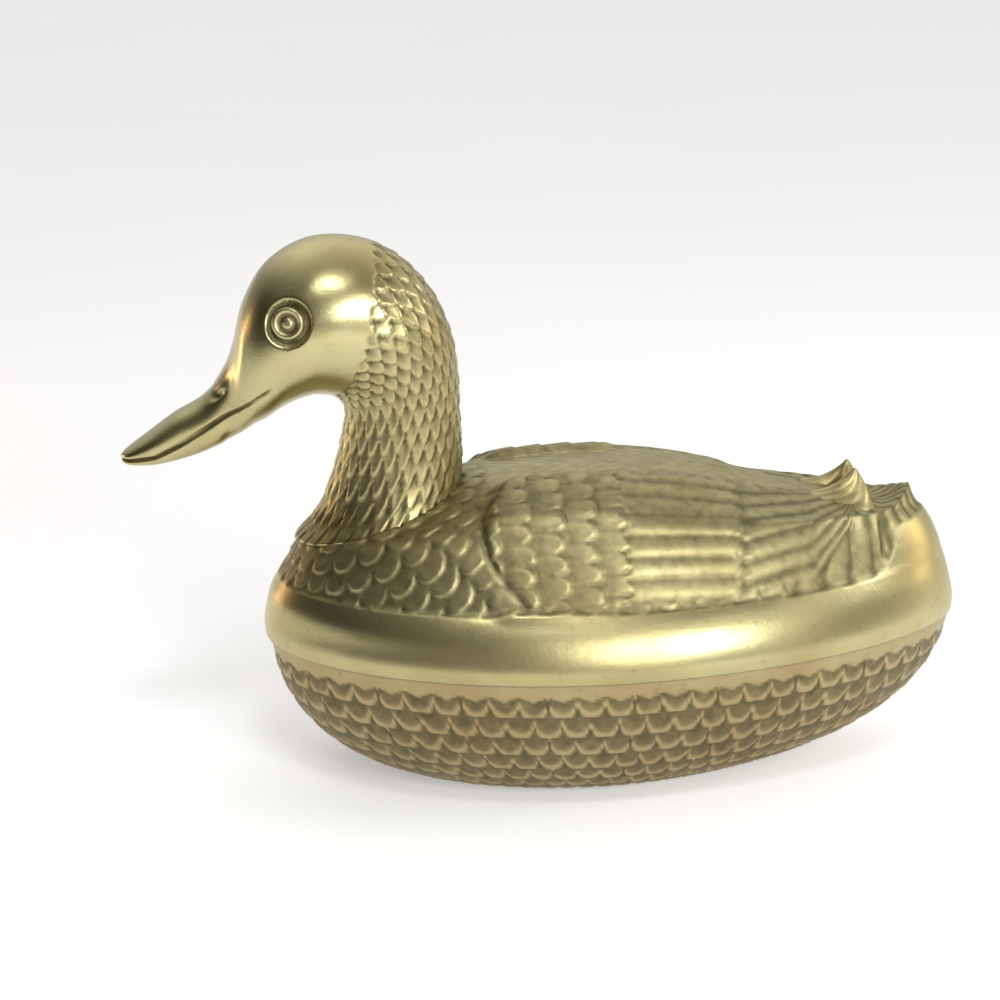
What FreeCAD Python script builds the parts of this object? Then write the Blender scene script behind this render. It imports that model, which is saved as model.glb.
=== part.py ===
import FreeCAD, Part
import math
import os

from FreeCAD import Vector

# A lidded box in the shape of a swimming duck, cast in brass.
# X runs from beak to tail, Z is up, and the origin is the middle of the flat foot.
# Bowl and lid are thin castings, the head and neck are a third one, and a stud
# with a washer and a nut holds the neck down on the lid from inside.

# The joint between bowl and lid, seen from above
bow_reach = 79.5
stern_reach = 95.5
body_half_width = 44.5
rim_height = 36.0

# The bowl
foot_half_length = 38.0
foot_half_width = 20.0
bowl_wall = 2.5
bowl_floor = 3.0
lip_height = 3.0
lip_wall = 1.8

# The lid: a polished band below and the duck's back above it
lid_wall = 3.0
lid_overhang = 1.5
lid_clearance = 0.4
band_height = 50.5
back_foot = 2.0
back_height = 77.2

# The wings lie on the back in rows, the front row on top
wing_relief = 1.2
row_relief = 0.5
wing_gap = 10.0
wing_foot_height = 52.5
shoulder_x = -28.0
shoulder_bulge = 9.0
first_row_x = 6.0
row_pitch = 7.6
row_count = 4
cover_end_x = 35.0
feather_width = 5.2
wing_end_x = 57.0
wing_tip_x = 67.0
wing_tip_height = 73.6
wing_tip_y = 3.6
wing_tip_thickness = 5.0

# The tail turns up to a point
tail_root_x = 52.0
tail_dip_x = 71.0
tail_dip_height = 63.8
tail_tip_x = 81.2
tail_tip_height = 68.2

# The seat of the neck on the lid, tilted up towards the back
seat_front_x = -71.5
seat_front_height = 60.4
seat_rear_x = -30.5
seat_rear_height = 71.6
seat_half_width = 17.5
seat_clearance = 0.2
seat_block = 5.0

# The head and neck
head_height = 75.0
neck_wall = 3.0
bridge_width = 12.0
bridge_thickness = 6.0
beak_reach = 32.0
mouth_gap = 0.7
mouth_depth = 1.0
nostril_length = 3.6
nostril_height = 1.4
nostril_depth = 1.0

# The eyes: turned studs, each standing in a wider round seat
eye_x = -67.8
eye_height = 114.8
eye_seat_radius = 5.5
eye_seat_depth = 1.2
eye_radius = 3.8
eye_rise = 0.3
eye_groove_outer = 2.5
eye_groove_inner = 1.4
eye_groove_depth = 0.5
eye_turn = 14.0
eye_lift = 10.0

# Stud, washer and nut
stud_radius = 3.0
stud_clearance = 0.1
stud_length = 21.0
washer_radius = 8.0
washer_thickness = 1.2
nut_across_flats = 10.0
nut_height = 5.0

# One overrun for every cut
overrun = 2.0

# How round the outlines are: 2 is an ellipse, less is more pointed
stern_power = 1.75
bowl_power = 2.0
beak_power = 2.5

# How finely the castings are drawn: sides of an outline and steps between drawn rows
body_sides = 36
ring_sides = 24
leaf_sides = 12
body_steps = 2
head_steps = 2

# Rows of a height, then how far bow, stern and side reach, as shares of the sizes of the
# rim, and last the roundness of the bow. The band's rows run from the rim to its top.
band_level_shares = [
    (0.00, 0.998, 0.995, 0.996, 2.0),
    (0.20, 1.002, 0.993, 1.000, 2.0),
    (0.60, 0.984, 0.978, 0.955, 2.0),
    (1.00, 0.950, 0.953, 0.866, 2.1),
]
back_level_shares = [
    (0.00, 0.962, 0.966, 0.855, 2.1),
    (0.22, 0.912, 0.936, 0.785, 2.2),
    (0.40, 0.874, 0.905, 0.730, 2.3),
    (0.53, 0.830, 0.827, 0.682, 2.4),
    (0.64, 0.755, 0.660, 0.628, 2.4),
    (0.74, 0.629, 0.508, 0.552, 2.4),
    (0.85, 0.478, 0.387, 0.446, 2.3),
    (0.94, 0.314, 0.283, 0.303, 2.2),
    (0.985, 0.170, 0.165, 0.165, 2.0),
    (1.00, 0.060, 0.060, 0.060, 2.0),
]
tail_level_shares = [
    (0.00, 0.955, 0.860),
    (0.32, 0.934, 0.800),
    (0.55, 0.909, 0.745),
    (0.74, 0.880, 0.690),
    (1.00, 0.845, 0.610),
]
# Rows of a height and the size of the outline inside the lid, as shares of the rim's
cavity_level_shares = [
    (0.00, 1.000),
    (0.14, 0.950),
    (0.27, 0.850),
    (0.46, 0.770),
    (0.63, 0.640),
    (0.74, 0.480),
    (0.84, 0.320),
    (0.92, 0.120),
]

# How high up the bowl its outlines lie, as shares of its height
bowl_row_shares = (0, 0.03, 0.08, 0.16, 0.28, 0.45, 0.7, 1)
bowl_cavity_row_shares = (0, 0.06, 0.2, 0.45, 1)

# Rings round neck and head, each from its front or lower point to its rear or upper
# point, and its half width, all as shares of the head's height over the seat
head_ring_shares = [
    (-0.273, 0.000, 0.273, 0.150, 0.233),
    (-0.200, 0.088, 0.276, 0.220, 0.208),
    (-0.151, 0.208, 0.275, 0.301, 0.191),
    (-0.117, 0.328, 0.269, 0.408, 0.184),
    (-0.104, 0.428, 0.265, 0.528, 0.187),
    (-0.140, 0.477, 0.245, 0.661, 0.203),
    (-0.200, 0.488, 0.187, 0.801, 0.224),
    (-0.253, 0.475, 0.087, 0.915, 0.240),
    (-0.307, 0.448, -0.040, 0.981, 0.253),
    (-0.353, 0.415, -0.200, 0.987, 0.248),
    (-0.393, 0.392, -0.333, 0.911, 0.221),
    (-0.428, 0.368, -0.413, 0.788, 0.173),
    (-0.453, 0.354, -0.450, 0.645, 0.128),
    (-0.475, 0.343, -0.478, 0.575, 0.106),
]
core_rings = 5

# Rings of the beak from its root in the face to its tip, as shares of the beak's reach
beak_root_shares = (-0.41, 0.40)
beak_ring_shares = [
    (-0.04, 0.02, -0.02, 0.56, 0.230),
    (0.13, -0.13, 0.16, 0.41, 0.247),
    (0.22, -0.19, 0.32, 0.20, 0.228),
    (0.43, -0.26, 0.55, 0.06, 0.206),
    (0.68, -0.30, 0.74, -0.07, 0.190),
    (0.88, -0.31, 0.89, -0.18, 0.131),
    (0.97, -0.28, 0.97, -0.22, 0.056),
]
mouth_line_shares = [(-0.10, 0.36), (0.17, 0.14), (0.42, -0.03), (0.80, -0.23), (1.10, -0.28)]
nostril_shares = (0.27, 0.13)
beak_tip_shares = (0.97, -0.25)

# The wing's front edge as shares of a half turn, the strip of back between the wings from
# the shoulder to the tips, and the rows of a wing tip: height, front, rear, thickness
shoulder_turn_shares = (0.12, 0.25, 0.38, 0.5, 0.62, 0.75, 0.88, 1)
strip_shares = ((-0.1, 1.1), (0.2, 1), (0.5, 0.9), (0.7, 0.65), (0.85, 0.4), (1.1, 0.1))
wing_tip_shares = (
    (-0.5, -4.2, 0.6, 1.5),
    (0.00, -2.6, 0.7, 1.2),
    (0.35, -1.25, 0.62, 0.9),
    (0.65, -0.6, 0.42, 0.65),
    (0.88, -0.25, 0.22, 0.4),
    (1.00, -0.06, 0.06, 0.15),
)
tail_line_share = 0.3


def signed_power(value, power):
    return math.copysign(abs(value) ** power, value)


def finer(rows, steps):
    """The drawn rows with smooth steps between them."""
    places = [float(index) for index in range(len(rows))]
    curves = []
    for column in zip(*rows):
        curve = Part.BSplineCurve()
        curve.interpolate(
            Points=[Vector(place, value, 0) for place, value in zip(places, column)],
            Parameters=places,
        )
        curves.append(curve)
    count = (len(rows) - 1) * steps + 1
    return [tuple(curve.value(step / steps).y for curve in curves) for step in range(count)]


def skin(rings):
    """A closed solid with flat facets between rings of as many points."""
    faces = [
        Part.Face(Part.makePolygon(rings[0] + rings[0][:1])),
        Part.Face(Part.makePolygon(rings[-1] + rings[-1][:1])),
    ]
    sides = len(rings[0])
    for lower, upper in zip(rings, rings[1:]):
        for side in range(sides):
            after = (side + 1) % sides
            for corners in (
                [lower[side], lower[after], upper[after]],
                [lower[side], upper[after], upper[side]],
            ):
                faces.append(Part.Face(Part.makePolygon(corners + corners[:1])))
    return Part.Solid(Part.Shell(faces))


def mirrored(shape):
    """The same shape on the duck's other side."""
    return shape.mirror(Vector(0, 0, 0), Vector(0, 1, 0))


def prism(points, direction):
    """A straight-edged outline, made solid along a direction."""
    return Part.Face(Part.makePolygon(points + points[:1])).extrude(direction)


def side_prism(outline, near, far):
    """An outline seen from the side, as (x, height), made solid from near to far."""
    return prism([Vector(x, near, z) for x, z in outline], Vector(0, far - near, 0))


def egg(height, bow, stern, half_width, bow_power, sides):
    """Outline of the body at one height, blunt in front and drawn out behind."""
    points = []
    for side in range(sides):
        angle = 2 * math.pi * side / sides
        reach, power = (stern, stern_power) if math.cos(angle) > 0 else (bow, bow_power)
        points.append(Vector(
            reach * signed_power(math.cos(angle), 2 / power),
            half_width * signed_power(math.sin(angle), 2 / power),
            height,
        ))
    return points


def ring(front, rear, half_width, power, grow, sides=ring_sides):
    """A ring that stands across the duck from a front point to a rear point."""
    middle = (front + rear) * 0.5
    along = (rear - front) * 0.5
    along = along * ((along.Length + grow) / along.Length)
    across = Vector(0, half_width + grow, 0)
    points = []
    for side in range(sides):
        angle = 2 * math.pi * side / sides
        points.append(
            middle
            + along * signed_power(math.cos(angle), 2 / power)
            + across * signed_power(math.sin(angle), 2 / power))
    return points


def level_form(rows, bottom, top, grow):
    """A stack of body outlines from bottom to top, made larger all round by grow."""
    rings = []
    for height, bow, stern, side, power in finer(rows, body_steps):
        rings.append(egg(
            bottom + height * (top - bottom),
            bow * bow_reach + grow,
            stern * stern_reach + grow,
            side * body_half_width + grow,
            power,
            body_sides,
        ))
    return skin(rings)


def cavity_form(rows, inset):
    """The hollow of a casting: the rim's outline, scaled from row to row."""
    rings = []
    for height, scale in rows:
        rings.append(egg(
            height,
            scale * (bow_reach - inset),
            scale * (stern_reach - inset),
            scale * (body_half_width - inset),
            2,
            body_sides,
        ))
    return skin(rings)


def bowl_swell(share):
    """How far the bowl has swelled from foot to rim at a share of its height."""
    return (1 - (1 - share) ** bowl_power) ** (1 / bowl_power)


def rim_plate(bottom, top, inset):
    """A plate inside the rim's outline."""
    outline = egg(
        bottom, bow_reach - inset, stern_reach - inset, body_half_width - inset, 2, body_sides)
    return prism(outline, Vector(0, 0, top - bottom))


def make_bowl():
    """The hull: a thin wall on a flat foot, with a lip inside the rim to centre the lid."""
    rings = []
    for share in bowl_row_shares:
        swell = bowl_swell(share)
        rings.append(egg(
            share * rim_height,
            foot_half_length + swell * (bow_reach - lid_overhang - foot_half_length),
            foot_half_length + swell * (stern_reach - lid_overhang - foot_half_length),
            foot_half_width + swell * (body_half_width - lid_overhang - foot_half_width),
            2,
            body_sides,
        ))
    lip_inset = lid_wall + lid_clearance
    lip = rim_plate(rim_height - lip_wall, rim_height + lip_height, lip_inset)
    floor_scale = (foot_half_width - bowl_wall) / (body_half_width - lip_inset - lip_wall)
    rows = []
    for share in bowl_cavity_row_shares:
        rows.append((
            bowl_floor + share * (rim_height - bowl_floor),
            floor_scale + bowl_swell(share) * (1 - floor_scale),
        ))
    rows.append((rim_height + lip_height + overrun, 1))
    return skin(rings).fuse(lip).cut(cavity_form(rows, lip_inset + lip_wall))


def back_form(grow):
    """The duck's back above the band, made larger all round by grow."""
    return level_form(back_level_shares, band_height - back_foot, back_height + grow, grow)


def scallops(x, bottom, top, width):
    """Rounded feather ends in a row, as points up the rear edge of a row."""
    count = max(1, round((top - bottom) / width))
    step = (top - bottom) / count
    points = []
    for feather in range(count):
        for turn in (0, 0.2, 0.5, 0.8):
            angle = math.pi * turn
            points.append((
                x + step / 2 * math.sin(angle),
                bottom + (feather + turn) * step,
            ))
    points.append((x, top))
    return points


def shoulder():
    """The wing's front edge, which bulges forward, as points down from the back."""
    points = []
    for turn in shoulder_turn_shares:
        angle = math.pi * turn
        points.append((
            shoulder_x + shoulder_bulge * (1 - math.sin(angle)),
            wing_foot_height + (back_height - wing_foot_height) * (1 + math.cos(angle)) / 2,
        ))
    return points


def back_strip():
    """The strip of back between the wings, which narrows towards their tips."""
    side = []
    for reach, width in strip_shares:
        side.append((shoulder_x + reach * (wing_tip_x - shoulder_x), width * wing_gap))
    outline = [Vector(x, -y, band_height) for x, y in side]
    outline += [Vector(x, y, band_height) for x, y in reversed(side)]
    return prism(outline, Vector(0, 0, back_height))


def wing_row(x, grow):
    """One row of feathers on both wings, from the shoulder to its scalloped rear edge."""
    top = back_height + overrun
    front = [(shoulder_x + shoulder_bulge, top)] + shoulder()
    edge = scallops(x, wing_foot_height, top, feather_width)
    row = side_prism(front + edge, -body_half_width, body_half_width)
    return back_form(grow).common(row).cut(back_strip())


def flight_feathers():
    """The long feathers of both wings, which narrow towards the tail."""
    outline = [
        (first_row_x, wing_foot_height),
        (wing_end_x, wing_foot_height),
        (wing_tip_x, tail_dip_height),
        (wing_tip_x, back_height),
        (first_row_x, back_height),
    ]
    return back_form(row_relief).common(side_prism(outline, -body_half_width, body_half_width))


def wing_tip():
    """The upturned end of the far wing: a leaf that thins towards its tip."""
    rings = []
    for height, front, rear, thickness in wing_tip_shares:
        z = tail_dip_height + height * (wing_tip_height - tail_dip_height)
        outline = ring(
            Vector(wing_tip_x + front * feather_width, 0, z),
            Vector(wing_tip_x + rear * feather_width, 0, z),
            thickness * wing_tip_thickness / 2,
            2,
            0,
            leaf_sides,
        )
        rings.append([point + Vector(0, wing_tip_y, 0) for point in outline])
    return skin(rings)


def tail_form():
    """The tail: the stern's outline carried on upwards, under a dipped line."""
    rings = []
    for height, stern, side in finer(tail_level_shares, body_steps):
        rings.append(egg(
            band_height + height * (tail_tip_height - band_height),
            bow_reach,
            stern * stern_reach,
            side * body_half_width,
            2,
            body_sides,
        ))
    middle_x = (tail_dip_x + tail_tip_x) / 2
    middle_height = tail_dip_height + tail_line_share * (tail_tip_height - tail_dip_height)
    outline = [
        (tail_root_x, band_height),
        (tail_dip_x, tail_dip_height),
        (middle_x, middle_height),
        (tail_tip_x, tail_tip_height),
        (stern_reach, tail_tip_height),
        (stern_reach, band_height),
    ]
    return skin(rings).common(side_prism(outline, -body_half_width, body_half_width))


def seat_points():
    return (
        Vector(seat_front_x, 0, seat_front_height),
        Vector(seat_rear_x, 0, seat_rear_height),
    )


def seat_middle():
    front, rear = seat_points()
    return (front + rear) * 0.5


def seat_up():
    """Unit vector square to the neck's seat, pointing up the neck."""
    front, rear = seat_points()
    along = rear - front
    return Vector(-along.z, 0, along.x).normalize()


def seat_ring(grow):
    front, rear = seat_points()
    return ring(front, rear, seat_half_width, 2, grow)


def axis_cylinder(radius, bottom, top):
    """A cylinder on the seat's axis, between two heights over the seat."""
    return Part.makeCylinder(radius, top - bottom, seat_middle() + seat_up() * bottom, seat_up())


def make_lid():
    """Band, back, wings and tail in one shell, with a thick seat under the neck."""
    band = level_form(band_level_shares, rim_height, band_height, 0)
    outside = band.fuse([back_form(0), tail_form(), flight_feathers(), wing_tip(), mirrored(wing_tip())])
    rows = [wing_row(cover_end_x, wing_relief)]
    for index in range(row_count):
        rows.append(wing_row(first_row_x - index * row_pitch, wing_relief + (index + 1) * row_relief))
    outside = outside.fuse(rows)
    block = prism(seat_ring(0), seat_up() * -seat_block).common(outside)
    lip_space = lip_height + lid_clearance
    rows = [(rim_height - overrun, 1)]
    for share, scale in cavity_level_shares:
        rows.append((rim_height + lip_space + share * (back_height - rim_height - lip_space), scale))
    lid = outside.cut(cavity_form(rows, lid_wall)).fuse(block)
    neck_rows = finer(head_ring_shares, head_steps)[:2 * head_steps + 1]
    pocket = skin(head_rings(neck_rows, seat_clearance))
    stud_hole = axis_cylinder(stud_radius + stud_clearance, -2 * seat_block, seat_block)
    washer_face = axis_cylinder(washer_radius + seat_clearance, -3 * seat_block, -seat_block)
    return lid.cut([pocket, stud_hole, washer_face])


def head_point(x_share, height_share):
    """A point over the middle of the seat's length, in shares of the head's height."""
    return Vector(
        seat_middle().x + x_share * head_height,
        0,
        seat_front_height + height_share * head_height,
    )


def head_rings(rows, grow):
    rings = []
    for front_x, front_z, rear_x, rear_z, half_width in rows:
        rings.append(ring(
            head_point(front_x, front_z),
            head_point(rear_x, rear_z),
            half_width * head_height,
            2,
            grow,
        ))
    return rings


def neck_hollow():
    """The core of the neck, open at its foot."""
    foot = [point - seat_up() * overrun for point in seat_ring(-neck_wall)]
    return skin([foot] + head_rings(head_ring_shares[1:core_rings], -neck_wall))


def beak_point(reach_share, height_share):
    root = head_point(*beak_root_shares)
    return Vector(root.x - reach_share * beak_reach, 0, root.z + height_share * beak_reach)


def beak_form(rows, grow):
    rings = []
    for low_x, low_z, high_x, high_z, half_width in finer(rows, head_steps):
        rings.append(ring(
            beak_point(low_x, low_z),
            beak_point(high_x, high_z),
            half_width * beak_reach,
            beak_power,
            grow,
        ))
    return skin(rings)


def neck_bridge(casting):
    """The bar across the neck's foot that takes the stud."""
    up = seat_up()
    along = Vector(up.z, 0, -up.x)
    corner = seat_middle() - along * (bridge_width / 2)
    outline = [
        corner,
        corner + along * bridge_width,
        corner + along * bridge_width + up * bridge_thickness,
        corner + up * bridge_thickness,
    ]
    outline = [point - Vector(0, seat_half_width, 0) for point in outline]
    return prism(outline, Vector(0, 2 * seat_half_width, 0)).common(casting)


def eye_axis():
    """Unit vector out of the eye on the near side."""
    turn = math.radians(eye_turn)
    lift = math.radians(eye_lift)
    return Vector(
        -math.sin(turn) * math.cos(lift),
        -math.cos(turn) * math.cos(lift),
        math.sin(lift),
    )


def eye_place(casting):
    """Where the eye's axis leaves the head."""
    start = Vector(eye_x, 0, eye_height)
    line = casting.common(Part.makeLine(start, start + eye_axis() * head_height))
    return max((vertex.Point for vertex in line.Vertexes), key=lambda end: end.distanceToPoint(start))


def eye_rod(casting, radius, bottom, top):
    """A round rod on the eye's axis, between two distances from the head's skin."""
    place = eye_place(casting) + eye_axis() * bottom
    return Part.makeCylinder(radius, top - bottom, place, eye_axis())


def make_eye(casting):
    """A turned stud with a ring groove round a dot."""
    stud = eye_rod(casting, eye_radius, -eye_seat_depth, eye_rise)
    groove = eye_rod(casting, eye_groove_outer, eye_rise - eye_groove_depth, overrun)
    dot = eye_rod(casting, eye_groove_inner, -eye_seat_depth, overrun)
    return stud.cut(groove.cut(dot))


def mouth_groove():
    """The line between the two halves of the beak, cut round its sides."""
    line = [beak_point(reach, height) for reach, height in mouth_line_shares]
    above = [(point.x, point.z + mouth_gap / 2) for point in line]
    below = [(point.x, point.z - mouth_gap / 2) for point in reversed(line)]
    slot = side_prism(above + below, -seat_half_width, seat_half_width)
    head_inside = skin(head_rings(finer(head_ring_shares, head_steps), -mouth_depth))
    beak_inside = beak_form(beak_ring_shares[:-1], -mouth_depth)
    return slot.cut([head_inside, beak_inside])


def nostril(beak):
    """A short slot on the near side of the beak."""
    place = beak_point(*nostril_shares)
    side = Part.makeLine(place, place - Vector(0, seat_half_width, 0)).common(beak)
    skin_y = min(vertex.Point.y for vertex in side.Vertexes)
    along = (beak_point(*beak_tip_shares) - beak_point(0, 0)).normalize()
    across = Vector(-along.z, 0, along.x)
    outline = []
    for corner in range(leaf_sides):
        angle = 2 * math.pi * corner / leaf_sides
        point = (
            place
            + along * (nostril_length / 2 * math.cos(angle))
            + across * (nostril_height / 2 * math.sin(angle)))
        outline.append(Vector(point.x, skin_y + nostril_depth, point.z))
    return prism(outline, Vector(0, -nostril_depth - overrun, 0))


def make_head():
    """Head, neck and beak in one casting, hollow in the neck."""
    outside = skin(head_rings(finer(head_ring_shares, head_steps), 0))
    outside = outside.fuse(beak_form(beak_ring_shares, 0))
    bridge = neck_bridge(outside)
    near_side = [eye_rod(outside, eye_seat_radius, -eye_seat_depth, overrun), nostril(outside)]
    far_side = [mirrored(cut) for cut in near_side]
    stud_hole = axis_cylinder(stud_radius + stud_clearance, -overrun, bridge_thickness + overrun)
    casting = outside.cut(neck_hollow()).fuse(bridge)
    return casting.cut([mouth_groove(), stud_hole] + near_side + far_side), make_eye(outside)


def make_washer():
    top = -seat_block
    ring_plate = axis_cylinder(washer_radius, top - washer_thickness, top)
    return ring_plate.cut(axis_cylinder(stud_radius + stud_clearance, top - overrun, top + overrun))


def make_nut():
    top = -seat_block - washer_thickness
    corners = []
    up = seat_up()
    along = Vector(up.z, 0, -up.x)
    radius = nut_across_flats / 2 / math.cos(math.pi / 6)
    for corner in range(6):
        angle = math.pi * corner / 3
        corners.append(
            seat_middle() + up * top
            + along * (radius * math.cos(angle))
            + Vector(0, radius * math.sin(angle), 0))
    nut = prism(corners, up * -nut_height)
    return nut.cut(axis_cylinder(stud_radius + stud_clearance, top - nut_height - overrun, top + overrun))


os.makedirs("parts", exist_ok=True)
head_casting, left_eye = make_head()
pieces = {
    "bowl": make_bowl(),
    "lid": make_lid(),
    "head_and_neck": head_casting,
    "eye_left": left_eye,
    "eye_right": mirrored(left_eye),
    "neck_stud": axis_cylinder(stud_radius, bridge_thickness - stud_length, bridge_thickness),
    "neck_washer": make_washer(),
    "neck_nut": make_nut(),
}
for name, shape in pieces.items():
    shape.exportStep("parts/" + name + ".step")
    print(name, "solids", len(shape.Solids), "volume", round(shape.Volume), "valid", shape.isValid())
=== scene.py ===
# %% [markdown]
# This lesson dresses a cast-brass duck, which is a lidded box. The construction is already
# settled: a bowl, a lid with the duck's back, a head and neck, two turned eyes, and the stud,
# washer and nut that hold the neck down. Here each casting gets its feathers as real relief
# and its satin, slightly tarnished brass.

# %% Load the fixed frame
import math
import bmesh
import bpy
import numpy as np
from mathutils import Matrix, Vector
from mathutils.bvhtree import BVHTree


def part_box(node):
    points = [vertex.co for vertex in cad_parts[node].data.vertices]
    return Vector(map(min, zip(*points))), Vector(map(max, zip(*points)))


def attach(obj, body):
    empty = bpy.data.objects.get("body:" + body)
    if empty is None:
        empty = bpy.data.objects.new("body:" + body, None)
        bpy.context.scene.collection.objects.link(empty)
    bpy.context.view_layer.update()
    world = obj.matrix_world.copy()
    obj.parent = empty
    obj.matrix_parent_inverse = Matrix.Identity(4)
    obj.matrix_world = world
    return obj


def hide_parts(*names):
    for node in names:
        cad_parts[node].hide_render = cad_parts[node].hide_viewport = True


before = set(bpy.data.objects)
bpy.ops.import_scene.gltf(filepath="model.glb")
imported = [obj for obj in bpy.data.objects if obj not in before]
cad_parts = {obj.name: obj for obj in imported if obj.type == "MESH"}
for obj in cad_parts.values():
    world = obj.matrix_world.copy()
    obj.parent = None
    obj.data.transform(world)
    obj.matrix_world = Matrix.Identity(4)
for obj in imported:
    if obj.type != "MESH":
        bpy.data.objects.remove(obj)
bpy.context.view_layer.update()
mm = 0.001
print("frame:", sorted(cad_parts))

# %% [markdown]
# The outer sizes are read from the frame, and what the frame doesn't hold, such as a feather,
# has a named size of its own where it is first needed. Points are worked out in millimetres,
# because that is how a founder measures such a casting, and they turn into metres when a mesh
# is made.

# %% Sizes from the frame
lid_low, lid_high = (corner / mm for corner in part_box("lid"))
bowl_low, bowl_high = (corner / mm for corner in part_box("bowl"))
head_low, head_high = (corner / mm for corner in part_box("head_and_neck"))
eye_low, eye_high = (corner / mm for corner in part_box("eye_left"))
washer_low, washer_high = (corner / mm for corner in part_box("neck_washer"))
bow = -lid_low.x
stern = lid_high.x
half_width = lid_high.y
rim_height = lid_low.z
lid_rise = lid_high.z - rim_height
head_length = head_high.x - head_low.x
head_rise = head_high.z - head_low.z
print("lid", round(bow + stern, 1), "by", round(2 * half_width, 1), "mm")

# %% [markdown]
# A casting like this could be sculpted, but a table of a few outlines is easier to read and
# to correct. A smooth curve runs through every column of such a table. The rows are then
# spread evenly along that curve, so that the mesh is as fine at the wing as at the breast.
# The short functions after it draw the soft borders and lines that every casting uses.

# %% Smooth curves through a table
samples_per_row = 60


def through(rows, places):
    """The table's rows, read at places between them on smooth curves."""
    table = np.array(rows, float)
    last = len(table) - 1
    low = np.clip(np.floor(places).astype(int), 0, last - 1)
    part = (places - low)[:, None]
    before = table[np.clip(low - 1, 0, last)]
    start = table[low]
    end = table[low + 1]
    after = table[np.clip(low + 2, 0, last)]
    return 0.5 * (
        2 * start
        + (end - before) * part
        + (2 * before - 5 * start + 4 * end - after) * part ** 2
        + (3 * start - before - 3 * end + after) * part ** 3
    )


def even_places(rows, columns, sizes, count):
    """Places in a table, evenly spread along the line that two columns draw, and its length."""
    fine = np.linspace(0, len(rows) - 1, samples_per_row * len(rows))
    line = through(rows, fine)[:, columns] * np.array(sizes)
    steps = np.linalg.norm(np.diff(line, axis=0), axis=1)
    length = np.concatenate([[0], np.cumsum(steps)])
    return np.interp(np.linspace(0, length[-1], count), length, fine), length[-1]


def ease(value):
    """0 below 0, 1 above 1, and a smooth step between."""
    value = np.clip(value, 0, 1)
    return value * value * (3 - 2 * value)


def rising(value, start, width):
    """A smooth rise from 0 at start to 1 a width further on."""
    return ease((value - start) / width)


def falling(value, end, width):
    """A smooth fall to 0 at end, from 1 a width before it."""
    return ease((end - value) / width)


def bell(distance, width):
    """1 where there is no distance, and close to 0 beyond two widths."""
    return np.exp(-((distance / width) ** 2))


print("a soft border at its quarters:", ease(np.array([0, 0.25, 0.5, 0.75, 1])).round(2))

# %% [markdown]
# Seen from above the duck is blunt in front and drawn out behind. Both halves are the same
# kind of curve, a stretched circle with a power, so one function draws every outline. The
# points are spread evenly round the rim.

# %% Outline of the body
stern_power = 1.75
ellipse_power = 2
body_points = 620
samples_per_point = 20


def egg(turn, bow_reach, stern_reach, side_reach, bow_power):
    """Outline of the body, where turn is 0 at the stern and half a turn at the bow."""
    power = np.where(np.cos(turn) > 0, stern_power, bow_power)
    reach = np.where(np.cos(turn) > 0, stern_reach, bow_reach)
    x = reach * np.sign(np.cos(turn)) * np.abs(np.cos(turn)) ** (2 / power)
    y = side_reach * np.sign(np.sin(turn)) * np.abs(np.sin(turn)) ** (2 / power)
    return x, y


def even_turns(count):
    """Turns that put points at even distances round the rim, and the rim's length."""
    fine = np.linspace(0, 2 * math.pi, samples_per_point * count)
    x, y = egg(fine, bow, stern, half_width, ellipse_power)
    length = np.concatenate([[0], np.cumsum(np.hypot(np.diff(x), np.diff(y)))])
    return np.interp(np.arange(count) / count * length[-1], length, fine), length[-1]


turns, rim_length = even_turns(body_points)
round_share = np.arange(body_points) / body_points
print("rim", round(rim_length), "mm round, a point every", round(rim_length / body_points, 2))

# %% [markdown]
# Feathers on cast brass are overlapping tiles: each is highest at its rounded tip and sinks
# under the tips of the row before it. A texture could only shade them. Here they are a
# height that the surface is moved by, so that light, outline and shadow all agree. Each tip
# ends a little early or late, as it does where the pattern was cut by hand.

# %% Overlapping feathers
edge_softness = 0.09
hand_unevenness = 0.07
row_phase = 12.9
tile_camber = 0.5
quill_power = 2.2
quill_height = 0.8
quill_lean = 0.4


def tile_end(row, across, bluntness, tip_power):
    """Where the tips of a row end, and how far across its tile each point lies."""
    staggered = across(row) + 0.5 * (row % 2)
    tile = np.floor(staggered)
    local = staggered - tile - 0.5
    drop = 1 - np.clip(1 - np.abs(2 * local) ** tip_power, 0, 1) ** (1 / tip_power)
    # The pattern repeats every four tiles, so that it closes where a ring of tiles ends.
    hand_error = hand_unevenness * np.sin(row_phase * row + math.pi / 2 * tile * (1 + row % 3))
    return row + 1 - bluntness * drop + hand_error, local


def tile_height(distance, local, slope):
    """Height of one tile at a distance from its tip, in rows."""
    return np.clip(1 - distance * slope, 0, 1) * (1 - tile_camber * np.abs(2 * local) ** 3)


def feathers(along, across, bluntness, slope=0.62, tip_power=2.0):
    """Height from 0 to 1 of staggered tiles, and the distance to the nearest tip's edge.

    along counts rows, and across is a function of the row, because rows may differ in their
    number of tiles. A higher bluntness lets a tile's corners fall further behind its tip.
    """
    row = np.floor(along)
    near_end, near_local = tile_end(row, across, bluntness, tip_power)
    far_end, far_local = tile_end(row + 1, across, bluntness, tip_power)
    on_near = ease((near_end - along) / edge_softness / 2 + 0.5)
    near = tile_height(near_end - along, near_local, slope)
    far = tile_height(far_end - along, far_local, slope)
    return on_near * near + (1 - on_near) * far, np.abs(near_end - along)


def quills(across):
    """Height from 0 to 1 of long feathers that lie side by side."""
    local = across % 1 - 0.5
    return (1 - np.abs(2 * local) ** quill_power) * (quill_height + quill_lean * local)


print("height across one quill:", quills(np.linspace(0.1, 0.9, 5)).round(2))

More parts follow.
